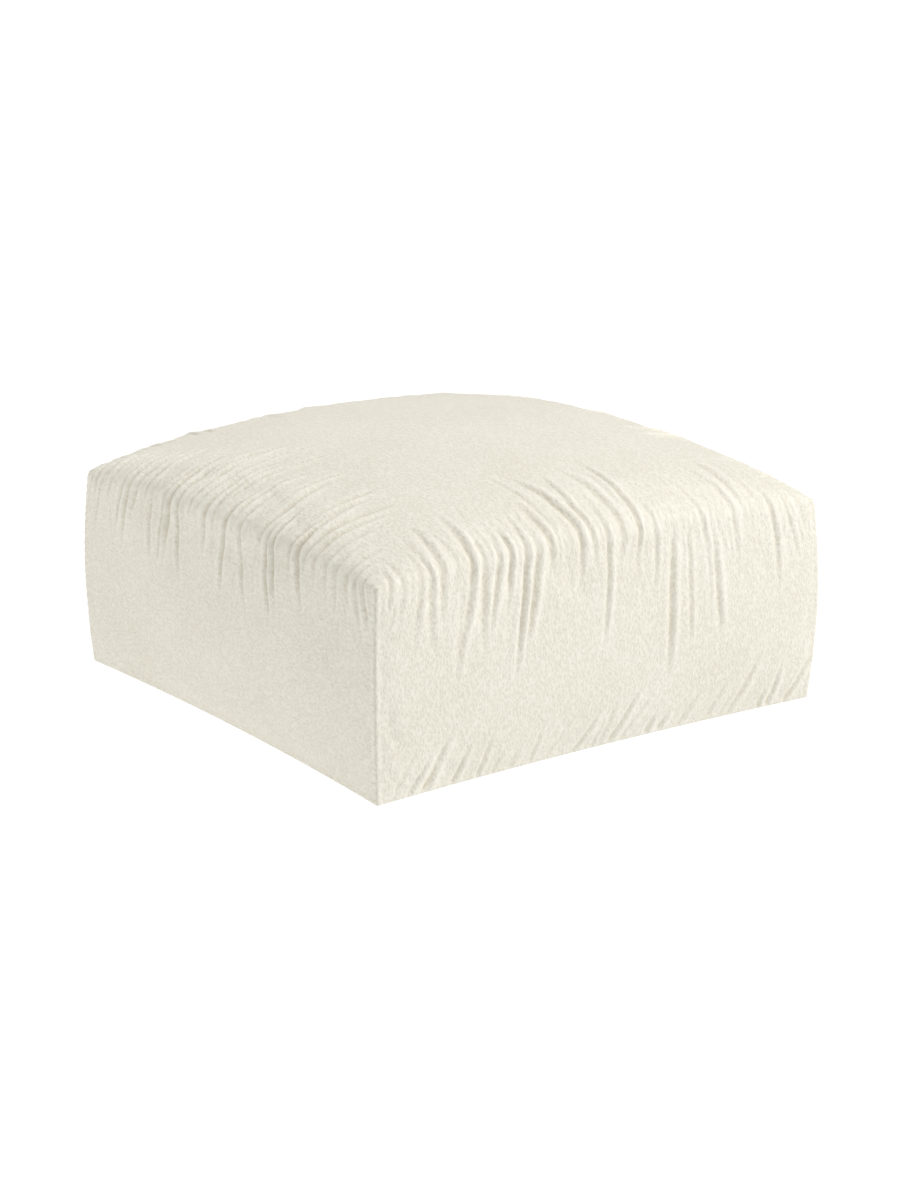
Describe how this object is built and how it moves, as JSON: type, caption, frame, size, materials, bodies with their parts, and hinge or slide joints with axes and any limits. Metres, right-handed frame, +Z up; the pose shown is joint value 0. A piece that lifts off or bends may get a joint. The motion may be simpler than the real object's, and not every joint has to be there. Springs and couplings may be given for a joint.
{
  "type": "floor cushion",
  "caption": "Large square floor cushion with a crowned top, gathered shoulders, upright corner seams and a zipped removable cover over an inner bag and foam core.",
  "frame": {"origin": "middle of the underside, on the floor", "axes": "+Z up through the middle of the crown; -Y the front; +Y the back, where the zip is; +X the right side seen from the front"},
  "size_m": [0.8378, 0.8378, 0.407],
  "materials": {
    "cover_cloth": "ivory chenille upholstery cloth, soft and matt",
    "base_cloth": "plain woven polyester with small rubbery grip dots",
    "seam_tape": "woven cotton tape",
    "label_cloth": "smooth blank satin ribbon",
    "liner_cloth": "thin white spunbonded cloth",
    "wadding": "lofty white polyester wadding",
    "foam": "open-cell polyurethane foam",
    "zip_tape": "ivory woven zip tape",
    "zip_coil": "ivory nylon coil",
    "zip_metal": "zinc alloy enamelled ivory"
  },
  "bodies": {
    "cushion": {"cover_top_and_sides": "cover_cloth", "cover_zip_strip": "cover_cloth", "base_panel": "base_cloth", "base_seam_binding": "seam_tape", "corner_binding_front_left": "seam_tape", "corner_binding_front_right": "seam_tape", "corner_binding_back_right": "seam_tape", "corner_binding_back_left": "seam_tape", "care_label": "label_cloth", "liner_top_and_sides": "liner_cloth", "liner_base": "liner_cloth", "wadding_top": "wadding", "wadding_front": "wadding", "wadding_back": "wadding", "wadding_left": "wadding", "wadding_right": "wadding", "foam_base_block": "foam", "foam_middle_block": "foam", "foam_crown_pad": "foam", "zip_tape_upper": "zip_tape", "zip_tape_lower": "zip_tape", "zip_coil_upper": "zip_coil", "zip_coil_lower": "zip_coil", "zip_stop_bottom": "zip_metal", "zip_stop_top_upper": "zip_metal", "zip_stop_top_lower": "zip_metal"},
    "zip_slider": {"zip_slider": "zip_metal"},
    "zip_pull": {"zip_pull": "zip_metal"}
  },
  "joints": [
    {"name": "zip_slide", "type": "slide", "parent": "cushion", "child": "zip_slider", "axis": [1, 0, 0], "range_m": [0, 0.5474], "deforming": ["zip_coil_upper", "zip_coil_lower"]},
    {"name": "pull_swing", "type": "hinge", "parent": "zip_slider", "child": "zip_pull", "pos_m": [-0.2737, 0.40407, 0.034], "axis": [0, 0, 1], "range_deg": [0, 175]}
  ]
}
